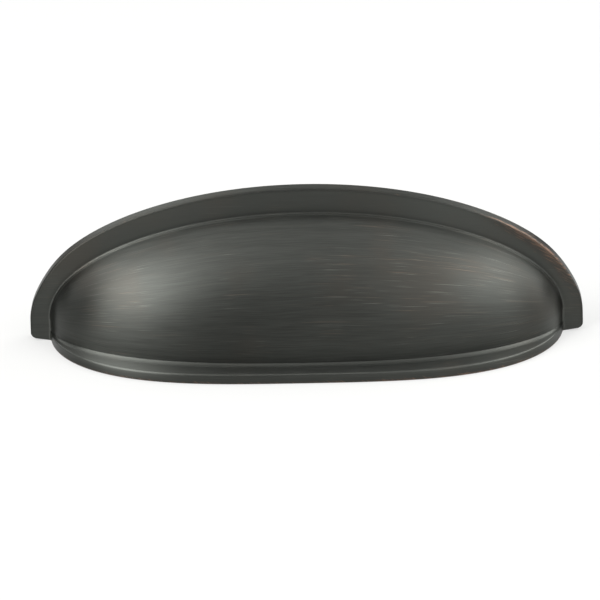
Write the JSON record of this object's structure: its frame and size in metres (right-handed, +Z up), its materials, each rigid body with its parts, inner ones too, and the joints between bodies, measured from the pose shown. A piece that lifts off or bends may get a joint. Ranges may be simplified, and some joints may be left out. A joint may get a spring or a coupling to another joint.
{
  "type": "cup pull",
  "caption": "Half-oval drawer cup pull in dark rubbed bronze: flat back plate, hollow dome open below for the fingers, moulded lip, and tapped posts inside for screws from behind.",
  "frame": {"origin": "midway between the two screw holes, on the flat back face that lies against the drawer front", "axes": "+X along the pull, +Y out of the back face into the drawer front, +Z up towards the crown of the plate"},
  "size_m": [0.1058, 0.0232, 0.0306],
  "materials": {
    "rubbed_bronze": "satin dark bronze with fine brush lines, rubbed through to copper on edges"
  },
  "bodies": {
    "root": {"cup_pull": "rubbed_bronze"}
  },
  "joints": []
}
